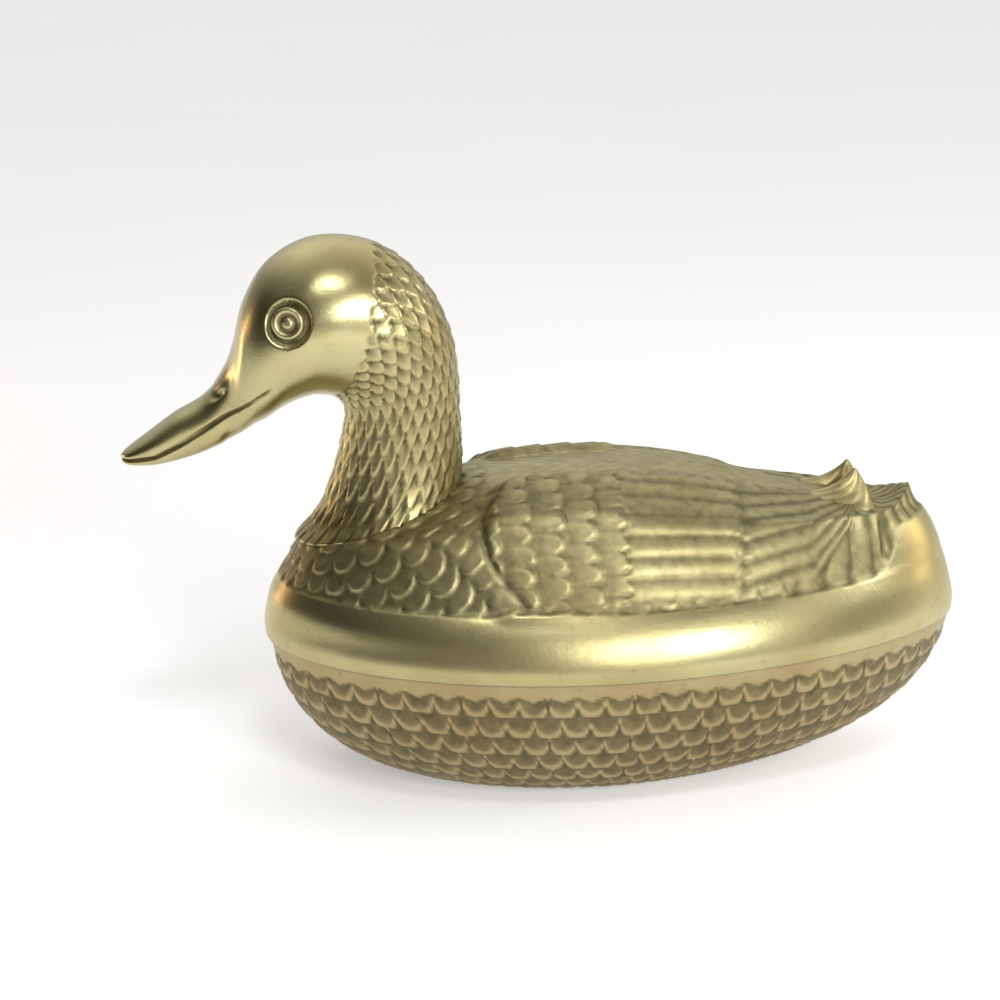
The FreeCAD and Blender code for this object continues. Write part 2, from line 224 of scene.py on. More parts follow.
# %% [markdown]
# A casting is one closed skin. The grid of points runs from the middle of the inside, over
# the rim and up the outside, so inside and outside are the same mesh and the wall has a real
# thickness. The depth of the relief is kept on the mesh, and the brass reads it later to put
# tarnish into the hollows.

# %% From a grid of points to a closed piece
# In millimetres: points closer than the first are one point, and edges under the second go
merge_distance = 0.002
sliver_size = 0.001
shortest_normal = 1e-9


def normals_of(grid):
    """Directions square to a grid of points whose rows close on themselves."""
    around = np.roll(grid, -1, axis=1) - np.roll(grid, 1, axis=1)
    up = np.gradient(grid, axis=0)
    normal = np.cross(around, up)
    length = np.linalg.norm(normal, axis=2, keepdims=True)
    return normal / np.maximum(length, shortest_normal)


def raised(grid, relief):
    """A grid whose rows run upwards, moved out by the relief."""
    return grid + normals_of(grid) * relief[:, :, None]


def make_piece(name, grid, hollow, body, sewn=False):
    """A closed, smooth mesh from a grid, riding on a body.

    A fan closes each end. With sewn, the last row lies on one line instead, and its two
    halves are joined there.
    """
    rows, sides = grid.shape[:2]
    index = np.arange(rows * sides).reshape(rows, sides)
    after = np.roll(index, -1, axis=1)
    quads = np.stack([index[:-1], after[:-1], after[1:], index[1:]], axis=-1).reshape(-1, 4)
    first = np.stack([np.full(sides, rows * sides), after[0], index[0]], axis=-1)
    last = np.stack([np.full(sides, rows * sides + 1), index[-1], after[-1]], axis=-1)
    ends = np.stack([grid[0].mean(axis=0), grid[-1].mean(axis=0)])
    points = np.concatenate([grid.reshape(-1, 3), ends]) * mm
    depths = np.concatenate([hollow.ravel(), [hollow[0].mean(), hollow[-1].mean()]])
    mesh = bpy.data.meshes.new(name)
    fans = first.tolist() + ([] if sewn else last.tolist())
    mesh.from_pydata(points.tolist(), [], quads.tolist() + fans)
    mesh.attributes.new("hollow", "FLOAT", "POINT").data.foreach_set("value", depths)
    work = bmesh.new()
    work.from_mesh(mesh)
    bmesh.ops.remove_doubles(work, verts=work.verts, dist=merge_distance * mm)
    bmesh.ops.dissolve_degenerate(work, dist=sliver_size * mm, edges=work.edges)
    loose = [vertex for vertex in work.verts if not vertex.link_faces]
    bmesh.ops.delete(work, geom=loose, context="VERTS")
    bmesh.ops.recalc_face_normals(work, faces=work.faces)
    work.to_mesh(mesh)
    work.free()
    mesh.polygons.foreach_set("use_smooth", [True] * len(mesh.polygons))
    piece = bpy.data.objects.new(name, mesh)
    bpy.context.scene.collection.objects.link(piece)
    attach(piece, body)
    print(name, len(mesh.polygons), "faces")
    return piece


# %% [markdown]
# The bowl is a hull on a small flat foot. Its wall swells in a quarter of an ellipse from
# foot to rim. A plain strip runs under the rim, and below it the whole hull is covered in
# rounded scales whose raised edges form a net. The lip that centres the lid stands inside.

# %% The bowl
foot_length_share = 0.487
foot_width_share = 0.465
bowl_bow = -bowl_low.x
bowl_stern = bowl_high.x
bowl_side = bowl_high.y
foot_length = foot_length_share * bowl_bow
foot_width = foot_width_share * bowl_side
wall_inset = 5.2
lip_inset = 3.4
floor_height = 3.0
floor_share = 0.445
edge_bevel = 0.25
rim_inset = 1.9
floor_scales = (0.02, 0.2, 0.36, 0.43)
inner_wall_steps = 24


def bowl_outside(share):
    """Outline of the bowl, at a share of the way from foot to rim along its swell."""
    swell = math.sin(share * math.pi / 2)
    height = rim_height * (1 - math.cos(share * math.pi / 2))
    x, y = egg(
        turns,
        foot_length + swell * (bowl_bow - foot_length),
        foot_length + swell * (bowl_stern - foot_length),
        foot_width + swell * (bowl_side - foot_width),
        ellipse_power,
    )
    return np.stack([x, y, np.full_like(x, height)], axis=-1)


def inset_ring(inset, height, scale=1.0):
    """The rim's outline, drawn in by an inset and then scaled, at one height."""
    reaches = [scale * (reach - inset) for reach in (bow, stern, half_width)]
    x, y = egg(turns, *reaches, ellipse_power)
    return np.stack([x, y, np.full_like(x, height)], axis=-1)


def bowl_inside():
    """Rings from the middle of the floor up the inner wall and over the lip."""
    rings = [inset_ring(wall_inset, floor_height, scale) for scale in floor_scales]
    for step in range(1, inner_wall_steps + 1):
        swell = step / inner_wall_steps * math.pi / 2
        scale = floor_share + math.sin(swell) * (1 - floor_share)
        height = floor_height + (rim_height - floor_height) * (1 - math.cos(swell))
        rings.append(inset_ring(wall_inset, height, scale))
    lip_top = bowl_high.z
    for inset, height in (
        (wall_inset, lip_top - edge_bevel),
        (wall_inset - edge_bevel, lip_top),
        (lip_inset + edge_bevel, lip_top),
        (lip_inset, lip_top - edge_bevel),
        (lip_inset, rim_height + edge_bevel),
        (lip_inset - edge_bevel, rim_height),
        (rim_inset, rim_height),
    ):
        rings.append(inset_ring(inset, height))
    return np.array(rings)


print("bowl", round(bowl_bow + bowl_stern, 1), "by", round(2 * bowl_side, 1), "mm")

# %% [markdown]
# The scales start under the strip. Their pattern mixes each tile's own height with a line
# along its edge, and those lines are the net. The relief only cuts inwards, so that the bowl
# keeps its size.

# %% The bowl's scales and mesh
bowl_rows = 84
bowl_scales_round = 60
bowl_scale_rows = 9.5
bowl_strip_share = 0.055
bowl_relief = 0.48
foot_scales = (0.97, 0.6, 0.2)
scale_bluntness = 0.95
net_width = 0.17
net_share = 0.75
scale_share = 0.35
# How far the strip reaches down, in rows of scales, how deep its edge waves, and how soft it is
strip_reach = 0.34
strip_waves = 0.5
strip_softness = 0.12
# Shares of the wall over which the relief fades in above the foot and below the rim
foot_fade = 0.05
rim_fade = 0.02
# How bright the strip and the plain edges stay, and how hollow the inside and the foot look
bowl_strip_polish = 0.8
bowl_edge_polish = 0.6
bowl_inside_hollow = 0.35
bowl_foot_hollow = 0.4


def make_bowl():
    """The hull with its scales, its inner wall and its lip."""
    shares = np.linspace(1 - edge_bevel / rim_height, 0, bowl_rows)[:, None]
    outside = np.array([bowl_outside(share) for share in shares[:, 0]])
    down = (1 - bowl_strip_share - shares) * bowl_scale_rows
    across = round_share[None, :] * bowl_scales_round
    height, edge = feathers(down, lambda row: across, scale_bluntness)
    pattern = np.clip(scale_share * height + net_share * bell(edge, net_width), 0, 1)
    strip_edge = strip_reach - strip_waves * np.abs(across % 1 - 0.5)
    on_strip = falling(down, strip_edge, strip_softness)
    pattern = pattern * (1 - on_strip) + bowl_strip_polish * on_strip
    fade = ease(shares / foot_fade) * ease((1 - shares) / rim_fade)
    relief = (pattern - 1) * bowl_relief * fade
    outside = raised(outside[::-1], relief[::-1])[::-1]
    inside = bowl_inside()
    foot = np.array([outside[-1] * [scale, scale, 0] for scale in foot_scales])
    grid = np.concatenate([inside, outside, foot])
    hollow = np.concatenate([
        np.full(inside.shape[:2], bowl_inside_hollow),
        1 - pattern * fade - (1 - fade) * bowl_edge_polish,
        np.full(foot.shape[:2], bowl_foot_hollow),
    ])
    piece = make_piece("bowl_casting", grid, hollow, "base")
    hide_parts("bowl")
    return piece


bowl = make_bowl()

# %% [markdown]
# The lid carries the duck's back. Its table of outlines starts at the rim, climbs the smooth
# band, turns in at the band's top, and closes along the spine. Bow, side and stern have
# heights of their own, and that is what lets the stern sweep up into a tail and dip again in
# front of it, all in one surface.

# %% Table of the lid's outlines
# Reach at bow, stern and side, then height at bow, side and stern, as shares of the lid's
# box, and last the roundness of the bow.
lid_rows = [
    (0.994, 0.997, 0.990, 0.000, 0.000, 0.000, 2.0),
    (0.998, 0.998, 0.997, 0.069, 0.069, 0.069, 2.0),
    (0.991, 0.991, 0.975, 0.151, 0.151, 0.151, 2.0),
    (0.977, 0.976, 0.931, 0.255, 0.243, 0.266, 2.05),
    (0.953, 0.960, 0.866, 0.338, 0.336, 0.366, 2.1),
    (0.939, 0.948, 0.832, 0.382, 0.371, 0.440, 2.1),
    (0.909, 0.927, 0.783, 0.475, 0.452, 0.533, 2.2),
    (0.874, 0.898, 0.725, 0.567, 0.560, 0.621, 2.3),
    (0.834, 0.872, 0.671, 0.648, 0.648, 0.650, 2.4),
    (0.771, 0.853, 0.609, 0.723, 0.725, 0.680, 2.4),
    (0.646, 0.806, 0.532, 0.787, 0.792, 0.650, 2.4),
    (0.489, 0.752, 0.430, 0.857, 0.857, 0.646, 2.3),
    (0.326, 0.673, 0.300, 0.912, 0.912, 0.702, 2.2),
    (0.169, 0.505, 0.161, 0.945, 0.940, 0.806, 2.0),
    (0.075, 0.315, 0.000, 0.954, 0.954, 0.894, 2.0),
]
lid_points_up = 124
tail_narrowness = 5
tail_tip_narrowness = 60
tail_tip_place = 8.7
tail_tip_width = 0.9
tail_tip_rise = 4.0
band_top_place = 4.25


def lid_surface(places):
    """The smooth outside of the lid, before any feathers."""
    columns = through(lid_rows, places).T[:, :, None]
    bow_share, stern_share, side_share, bow_up, side_up, stern_up, power = columns
    turn = turns[None, :]
    x, y = egg(turn, bow_share * bow, stern_share * stern, side_share * half_width, power)
    to_stern = np.maximum(0, np.cos(turn)) ** tail_narrowness
    to_tip = np.maximum(0, np.cos(turn)) ** tail_tip_narrowness
    at_tip = bell(places - tail_tip_place, tail_tip_width)[:, None]
    to_bow = np.maximum(0, -np.cos(turn)) ** 2
    up = side_up + (stern_up - side_up) * to_stern + (bow_up - side_up) * to_bow
    z = rim_height + up * lid_rise + tail_tip_rise * at_tip * to_tip
    return np.stack([x, y, z], axis=-1)


lid_places, lid_profile = even_places(lid_rows, [2, 4], [half_width, lid_rise], lid_points_up)
print("the lid's side is", round(lid_profile), "mm from rim to spine")

# %% [markdown]
# The wings wrap over the round back, so places on them are measured along the duck and down
# its side from the spine, as with a tape laid over it. The long feathers' width sets the
# number of feathers in a wing, and the coverts share it.

# %% Where the wing lies
# The axis of the round body, and how far from it the back lies
body_axis_height = 40.0
body_radius = 38.0
long_feather = 5.25
# Where the wing and its kinds of feather end, along the duck and down its side
shoulder_x = -28.0
shoulder_bulge = 9.0
covert_end_x = 6.3
covert_end_round = 1.8
long_end_x = 35.0
long_end_round = 1.6
long_end_slant = 3.0
wing_tip_x = 67.0
wing_top = 9.5
wing_foot = 46.5
wing_top_line = ((long_end_x, wing_top), (wing_tip_x - 6, 3.5), (wing_tip_x, 2.0))
wing_foot_line = ((long_end_x - 4, wing_foot), (52.0, 42.0), (62.0, 26.0), (wing_tip_x, 10.0))


def wing_place(x, y, z):
    """Distance down the body's side from the spine, and that as a share of the wing."""
    down = body_radius * np.arctan2(np.abs(y), z - body_axis_height)
    top = np.interp(x, *zip(*wing_top_line))
    foot = np.interp(x, *zip(*wing_foot_line))
    return down, (down - top) / (foot - top)


def rounded_ends(down, length):
    """How far the rounded ends of feathers that lie side by side reach back."""
    local = 2 * ((down - wing_top) / long_feather % 1) - 1
    return length * (np.sqrt(np.clip(1 - local ** 2, 0, 1)) - 1)


print("long feathers in a wing:", round((wing_foot - wing_top) / long_feather, 1))

# %% [markdown]
# Small round feathers spread over the breast from the neck. The wing lies on top of them,
# with four rows of large rounded coverts that point to the tail, then seven long feathers
# with rounded ends, and under those the flight feathers, which sweep up to the wing's tip.
# The smooth band stays plain, and at the stern it climbs with the tail.

# %% The kinds of feather
# The neck's middle, where the breast feathers start
neck_x = -51.0
neck_height = 68.0
# Sizes of the feathers. The tail's fan is counted in radians round the body, and the flight
# feathers over the width of the wing.
breast_row = 4.0
breast_feather = 6.2
breast_stretch = 0.8
breast_turn = 1.15
breast_bluntness = 0.85
covert_row = 7.6
covert_rows_ahead = 8
covert_bluntness = 0.45
covert_slope = 0.6
strip_stroke = 4.6
strip_slant = 1.4
tail_feather_turn = 0.10
tail_sweep = 0.30
flight_feathers = 6.5
flight_drift = 0.10
# Height of each relief, the share of it that lies level with the lid, and what lifts a layer
breast_relief = 0.75
covert_relief = 0.8
long_relief = 0.36
flight_relief = 0.24
tail_relief = 0.4
strip_relief = 0.15
breast_level = 0.55
feather_level = 0.6
vane_level = 0.5
wing_rise = 0.15
flight_rise = 0.25
skin_sink = 0.15
# How bright the hollows stay, from 0 to 1, and how dark the band and the line on it look
strip_polish = 0.85
long_polish = 0.3
feather_polish = 0.52
band_hollow = 0.1
border_line_hollow = 0.4


def breast_height(x, y, z):
    """Small feathers in rings round the neck, more of them in every wider ring."""
    ahead = x - neck_x
    away = np.sqrt(breast_stretch * ahead ** 2 + y ** 2 + (z - neck_height) ** 2)
    angle = np.arctan2(breast_turn * np.abs(y), ahead) / (2 * math.pi)
    half_count = math.pi * breast_row / breast_feather

    def across(row):
        return angle * 2 * np.round(half_count * (row + 0.5))

    return feathers(away / breast_row, across, breast_bluntness)[0]


def polished(pattern, polish):
    """A pattern whose hollows keep a share of their polish."""
    return polish + (1 - polish) * pattern


def strip_layer(x, y):
    """Flat strokes on the back, which lean back from the spine."""
    strokes = quills((x + strip_slant * np.abs(y)) / strip_stroke)
    return strip_relief * (strokes - feather_level), polished(strokes, strip_polish)


def tail_layer(turn, place):
    """The tail's feathers, in a fan from the stern."""
    from_stern = np.abs((turn + math.pi) % (2 * math.pi) - math.pi)
    fan = quills(from_stern / tail_feather_turn + tail_sweep * (place - band_top_place))
    return tail_relief * (fan - feather_level), fan


def flight_layer(x, share):
    """The flight feathers, side by side up to the wing's tip."""
    vanes = quills(share * flight_feathers + flight_drift * (x - long_end_x) / long_feather)
    return flight_rise + flight_relief * (vanes - vane_level), vanes


def long_layer(down):
    """The long feathers, side by side."""
    vanes = quills((down - wing_top) / long_feather)
    return wing_rise + long_relief * (vanes - vane_level), polished(vanes, long_polish)


def covert_layer(x, down):
    """Large rounded feathers in rows across the wing."""
    across = down / long_feather
    along = (x - covert_end_x) / covert_row + covert_rows_ahead
    rows = feathers(along, lambda row: across, covert_bluntness, covert_slope)[0]
    return wing_rise + covert_relief * (rows - feather_level), rows


long_middle = float(long_layer(wing_top + long_feather / 2)[0])
print("a long feather stands", round(long_middle, 2), "mm high in its middle")

# %% [markdown]
# The kinds of feather lie over each other like the layers of a collage, from the breast up to
# the coverts. Each layer has soft borders, and two thin lines are pressed in at the end: one
# round the shoulder and one where the wing's tip stands free of the tail.

# %% The layers of the lid, one over the other
# Each border is written as where it starts or ends and how wide it is. Borders across the
# wing are in shares of its width, and those at the stern in shares of the way to it.
stern_band_climb = 2.6
band_climb_border = (0.20, 0.45)
tail_stern_border = (0.35, 0.20)
tail_root_border = (60.0, 6.0)
tail_front_border = (long_end_x + 6, 8.0)
tail_top_border = (0.91, 0.10)
wing_top_border = (0, 1 / 9)
wing_foot_border = (1 + 1 / 52, 1 / 26)
strip_front_border = (shoulder_x + 2, 3.0)
strip_foot_border = (0.05, 1 / 12)
flight_front_border = (long_end_x - 4, 3.0)
flight_rear_border = (wing_tip_x + 2, 4.0)
flight_top_border = (0, 1 / 6)
flight_foot_border = (1 + 1 / 18, 1 / 9)
long_front_border = (shoulder_x, 2.0)
crisp_width = 0.9
band_border_width = 0.22
band_line_width = 0.12
spine_fade = 0.5
# The shade behind the long feathers: where it starts and ends behind them, and how deep it is
shade_start = 0.4
shade_start_width = 0.7
shade_end = 4.0
shade_end_width = 3.0
shade_depth = 0.3
shade_polish = 0.3
shade_strength = 0.75
shoulder_line_x = -0.3
shoulder_line_width = 0.8
shoulder_line_depth = 0.4
shoulder_line_strength = 0.8
crevice_x = 71.5
crevice_width = 0.9
crevice_depth = 0.9
crevice_foot_border = (54.0, 3.0)
crevice_top_border = (65.0, 3.0)


def over(below, above, share):
    """Relief and pattern of one layer laid over another where share is 1."""
    return [under * (1 - share) + upper * share for under, upper in zip(below, above)]


def sunk(layer, depth, polish=0):
    """A layer pressed in by a depth, with a share of its polish left."""
    relief, pattern = layer
    return relief - depth, polish * pattern


def lid_relief():
    """Height of all feathers over the smooth lid, and how hollow each point is."""
    x, y, z = np.moveaxis(lid_smooth, 2, 0)
    place = lid_places[:, None]
    turn = turns[None, :]
    down, share = wing_place(x, y, z)
    to_stern = np.maximum(0, np.cos(turn)) ** tail_narrowness
    band_top = band_top_place + stern_band_climb * rising(to_stern, *band_climb_border)
    feathered = rising(place, band_top, band_border_width)
    on_wing = rising(share, *wing_top_border) * falling(share, *wing_foot_border)

    breast = breast_height(x, y, z)
    layer = (breast_relief * (breast - breast_level), breast)
    on_strip = rising(x, *strip_front_border) * falling(share, *strip_foot_border)
    layer = over(layer, strip_layer(x, y), on_strip)

    beside_tail = rising(x, *tail_front_border) * rising(share, *tail_top_border)
    at_stern = rising(to_stern, *tail_stern_border) * rising(x, *tail_root_border)
    layer = over(layer, tail_layer(turn, place), np.maximum(beside_tail, at_stern))

    on_flight = rising(x, *flight_front_border) * falling(x, *flight_rear_border)
    across_flight = rising(share, *flight_top_border) * falling(share, *flight_foot_border)
    layer = over(layer, flight_layer(x, share), on_flight * across_flight)

    long_end = long_end_x - long_end_slant * share + rounded_ends(down, long_end_round)
    on_long = falling(x, long_end, crisp_width) * rising(x, *long_front_border)
    layer = over(layer, long_layer(down), on_long * on_wing)
    shade = rising(x, long_end + shade_start, shade_start_width)
    shade = shade * falling(x, long_end + shade_end, shade_end_width) * on_wing
    layer = over(layer, sunk(layer, shade_depth, shade_polish), shade_strength * shade)

    front = shoulder_x + shoulder_bulge * (1 - np.sin(math.pi * np.clip(share, 0, 1)))
    covert_end = covert_end_x + rounded_ends(down, covert_end_round)
    on_coverts = rising(x, front, crisp_width) * falling(x, covert_end, crisp_width)
    layer = over(layer, covert_layer(x, down), on_coverts * on_wing)
    shoulder_line = bell(x - front - shoulder_line_x, shoulder_line_width) * on_wing
    line_layer = sunk(layer, shoulder_line_depth)
    layer = over(layer, line_layer, shoulder_line_strength * shoulder_line)

    crevice = rising(z, *crevice_foot_border) * falling(z, *crevice_top_border)
    crevice = crevice * bell(x - crevice_x, crevice_width)
    relief, pattern = over(layer, sunk(layer, crevice_depth), crevice)

    relief = relief * falling(place, lid_places[-1], spine_fade) - skin_sink
    feather_hollow = 1 - feather_polish * np.clip(pattern, 0, 1)
    hollow = feather_hollow * feathered + band_hollow * (1 - feathered)
    hollow = hollow + border_line_hollow * bell(place - band_top, band_line_width)
    return relief * feathered, np.clip(hollow, 0, 1)


# %% [markdown]
# The neck stands in a shallow seat that tilts up towards the back, so the lid's skin is
# pressed flat there. The seat's place comes from the foot of the neck, and both slope alike.

# %% The neck's seat in the lid
# The foot of the neck, in shares of the head's box: how far its front and rear edges lie
# from the box's rear, how high the rear edge lies, and how wide the foot is
seat_front_share = 0.500
seat_rear_share = 0.003
seat_rear_rise = 0.151
seat_width_share = 0.922
seat_play = 0.2
seat_front = Vector((head_high.x - seat_front_share * head_length, 0, head_low.z))
seat_rear_height = head_low.z + seat_rear_rise * head_rise
seat_rear = Vector((head_high.x - seat_rear_share * head_length, 0, seat_rear_height))
seat_middle = (seat_front + seat_rear) / 2
seat_along = (seat_rear - seat_front).normalized()
seat_up = Vector((-seat_along.z, 0, seat_along.x))
seat_half_length = (seat_rear - seat_front).length / 2 + seat_play
seat_half_width = seat_width_share * head_high.y + seat_play


def seat_places(grid):
    """Distances of points along, across and above the neck's seat."""
    offset = grid - np.array(seat_middle)
    return offset @ np.array(seat_along), offset[..., 1], offset @ np.array(seat_up)


def with_seat(grid):
    """The lid's skin, pressed flat where the neck stands."""
    along, across, above = seat_places(grid)
    inside = (along / seat_half_length) ** 2 + (across / seat_half_width) ** 2 < 1
    press = np.where(inside & (above > 0), above, 0)
    return grid - press[..., None] * np.array(seat_up)


print("the neck's seat is", round(2 * seat_half_length, 1), "mm long")

# %% [markdown]
# A table of outlines can't follow every swell of the solid lid. The drawn back therefore
# settles onto the lid of the frame where it lies level, so that both have one form. Rays shot
# straight down find the solid's height, and averaging keeps its flat facets from showing.

# %% Settling onto the frame's lid
# How far round the seat nothing moves
seat_margin = 1.0
# How far the back may move down or up onto the frame's lid, how often that is averaged, and
# how level a face has to lie before it moves
settle_fall = 4.5
settle_rise = 2.2
settle_softening = 10
level_border = (0.6, 0.25)


def softened(values, times):
    """A grid of values, each averaged with its neighbours a number of times."""
    for _ in range(times):
        upright = np.concatenate([values[:1], values, values[-1:]])
        beside = np.roll(values, 1, axis=1) + np.roll(values, -1, axis=1)
        values = (values + upright[:-2] + upright[2:] + beside) / 5
    return values


def settled_onto(name, grid):
    """The grid's level faces, moved up or down onto the top of a node of the frame."""
    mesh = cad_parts[name].data
    corners = [vertex.co / mm for vertex in mesh.vertices]
    tree = BVHTree.FromPolygons(corners, [polygon.vertices[:] for polygon in mesh.polygons])
    along, across, _ = seat_places(grid)
    reach = seat_half_length + seat_margin
    side_reach = seat_half_width + seat_margin
    off_seat = (along / reach) ** 2 + (across / side_reach) ** 2 > 1
    moves = np.zeros(grid.shape[:2])
    for row, side in np.argwhere(off_seat):
        x, y, z = grid[row, side]
        spot = tree.ray_cast(Vector((x, y, 2 * lid_high.z)), Vector((0, 0, -1)))[0]
        if spot is not None:
            moves[row, side] = spot.z - z
    level = rising(normals_of(grid)[..., 2], *level_border)
    moves = softened(np.clip(moves, -settle_fall, settle_rise) * level, settle_softening)
    print(name, "settled by", round(float(np.abs(moves).mean()), 2), "mm on average")
    return grid + moves[..., None] * np.array([0, 0, 1])


lid_smooth = settled_onto("lid", lid_surface(lid_places))

# %% [markdown]
# Inside, the lid is a plain vault with a wall of about the same thickness all over. Under the
# neck a flat face stands out from it, which is machined on the real lid and takes the washer.

# %% The lid's hollow and mesh
# How thick the lid is under the neck's seat
seat_block = 5.0
washer_radius = (washer_high.y - washer_low.y) / 2 + seat_play
lid_wall = 3.0
top_wall = 2.0
lid_inside_hollow = 0.45
hollow_rings = 22
hollow_middle = 0.02
# Height over the lip's space and size of the hollow, as shares
hollow_rows = [
    (0.92, 0.12), (0.84, 0.32), (0.74, 0.48), (0.63, 0.64),
    (0.46, 0.77), (0.27, 0.85), (0.14, 0.95), (0.00, 1.00),
]
lip_space = 3.4


def lid_inside():
    """Rings from the top of the hollow down to the rim."""
    places = np.linspace(0, len(hollow_rows) - 1, hollow_rings)
    base = rim_height + lip_space
    rise = lid_high.z - top_wall - base
    rings = [inset_ring(lid_wall, base + hollow_rows[0][0] * rise, hollow_middle)]
    for up, scale in through(hollow_rows, places):
        rings.append(inset_ring(lid_wall, base + up * rise, scale))
    rings.append(inset_ring(lid_wall, rim_height + edge_bevel))
    rings.append(inset_ring(lid_wall - edge_bevel, rim_height))
    grid = np.array(rings)
    along, across, above = seat_places(grid)
    lift = np.where(np.hypot(along, across) < washer_radius, -seat_block - above, 0)
    return grid + lift[..., None] * np.array(seat_up)


def make_lid():
    """Band, back, wings and tail in one shell."""
    relief, hollow = lid_relief()
    outside = with_seat(raised(lid_smooth, relief))
    # Both halves of the last row get the same points, so that the skin closes along the spine.
    spine = outside[-1]
    outside[-1] = (spine + np.roll(spine[::-1], 1, axis=0)) / 2 * [1, 0, 1]
    inside = lid_inside()
    grid = np.concatenate([inside, outside])
    depths = np.concatenate([np.full(inside.shape[:2], lid_inside_hollow), hollow])
    piece = make_piece("lid_casting", grid, depths, "cover", sewn=True)
    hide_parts("lid")
    return piece


lid = make_lid()

# %% [markdown]
# Each wing ends in an upturned leaf that stands free of the tail. It is thin at its tip and
# thick where it grows out of the lid, so a stack of flat rings draws it well.

# %% The wing tips
# Height from the tail's dip to the tip, front, rear, sideways place and half thickness
leaf_rows = [
    (-0.50, -24.0, 6.0, 8.0, 5.5),
    (-0.22, -22.0, 5.5, 7.4, 5.0),
    (0.00, -17.5, 5.0, 6.4, 4.2),
    (0.18, -13.0, 4.4, 5.2, 3.3),
    (0.40, -7.5, 3.6, 4.4, 2.3),
    (0.68, -3.6, 2.3, 3.9, 1.4),
    (0.90, -1.2, 1.0, 3.6, 0.8),
    (1.00, -0.3, 0.3, 3.6, 0.3),
]
# Heights of the dip and the tip, and how much a ring rises towards the front
leaf_dip = 63.8
leaf_tip = 73.6
leaf_slope = 0.19
leaf_vanes = 5
leaf_twist = 6
leaf_relief_share = 0.07
leaf_hollow = 0.25
leaf_vane_hollow = 0.3
leaf_points = 96
leaf_rings = 70


def make_leaf(name, side):
    """One wing tip; side is -1 for the duck's left and 1 for its right."""
    angle = np.arange(leaf_points) / leaf_points * 2 * math.pi
    rings = []
    depths = []
    places = np.linspace(0, len(leaf_rows) - 1, leaf_rings)
    for up, front, rear, out, thick in through(leaf_rows, places):
        x = wing_tip_x + (front + rear) / 2 + (rear - front) / 2 * np.cos(angle)
        vane = np.cos(leaf_vanes * angle + leaf_twist * up) ** 2
        y = side * (out + thick * np.sin(angle) * (1 - leaf_relief_share * vane))
        fall = leaf_slope * (1 - up) * (wing_tip_x + rear - x)
        z = leaf_dip + up * (leaf_tip - leaf_dip) + fall
        rings.append(np.stack([x, y, z], axis=-1))
        depths.append(leaf_hollow + leaf_vane_hollow * vane)
    piece = make_piece(name, np.array(rings), np.array(depths), "cover")
    return piece


leaves = [make_leaf("wing_tip_left", -1), make_leaf("wing_tip_right", 1)]

# %% [markdown]
# Head, neck and beak are one casting, drawn as rings that lie across the neck, turn with it
# over the head, and run out along the beak. Rings can change from the round neck to the flat
# beak step by step, which a lathe shape or a swept tube can't.

# %% The head's rings
# Lower or front point (x, height), upper or rear point, half width, all as shares of the
# head's box counted from its rear foot, and the roundness of the ring.
head_rows = [
    (-0.500, 0.000, -0.003, 0.151, 0.922, 2.0),
    (-0.433, 0.089, -0.001, 0.221, 0.821, 2.0),
    (-0.388, 0.209, -0.001, 0.303, 0.753, 2.0),
    (-0.358, 0.330, -0.006, 0.411, 0.727, 2.0),
    (-0.346, 0.431, -0.010, 0.531, 0.737, 2.0),
    (-0.378, 0.480, -0.028, 0.666, 0.800, 2.0),
    (-0.433, 0.491, -0.081, 0.806, 0.885, 2.0),
    (-0.481, 0.478, -0.172, 0.921, 0.948, 2.0),
    (-0.530, 0.451, -0.290, 0.986, 0.990, 2.0),
    (-0.572, 0.417, -0.433, 0.990, 0.975, 2.0),
    (-0.609, 0.395, -0.554, 0.917, 0.874, 2.0),
    (-0.640, 0.370, -0.627, 0.793, 0.685, 2.0),
    (-0.663, 0.357, -0.661, 0.655, 0.515, 2.1),
    (-0.683, 0.346, -0.690, 0.575, 0.425, 2.3),
    (-0.712, 0.330, -0.748, 0.488, 0.384, 2.7),
    (-0.790, 0.298, -0.838, 0.428, 0.348, 3.0),
    (-0.887, 0.274, -0.910, 0.370, 0.321, 3.0),
    (-0.965, 0.270, -0.969, 0.325, 0.221, 2.6),
    (-0.993, 0.281, -0.994, 0.303, 0.100, 2.0),
]
head_points_round = 216
head_points_along = 320
head_places, nape_length = even_places(
    head_rows, [2, 3], [head_length, head_rise], head_points_along)


def head_surface():
    """The smooth head, neck and beak."""
    angle = np.arange(head_points_round) / head_points_round * 2 * math.pi
    columns = through(head_rows, head_places).T[:, :, None]
    low_x, low_z, high_x, high_z, width, power = columns
    wave = np.sign(np.cos(angle)) * np.abs(np.cos(angle)) ** (2 / power)
    across = np.sign(np.sin(angle)) * np.abs(np.sin(angle)) ** (2 / power)
    x = head_high.x + head_length * ((low_x + high_x) + (high_x - low_x) * wave) / 2
    z = head_low.z + head_rise * ((low_z + high_z) + (high_z - low_z) * wave) / 2
    y = width * head_high.y * across
    return np.stack([x, y, z], axis=-1)


print("the nape and the beak's ridge are", round(nape_length), "mm long")

# %% [markdown]
# The face stays smooth, and scales cover the neck and the back of the head. A groove for the
# mouth, a dent for each nostril and a flat seat for each eye are cut in, as a chaser would
# cut them into the casting.

# %% The head's scales and cuts
neck_row = 4.5
neck_scales_round = 28
neck_bluntness = 0.95
neck_slope = 0.7
neck_tip_power = 1.5
neck_relief = 0.7
neck_level = 0.75
head_sink = 0.05
foot_fade_rings = 4
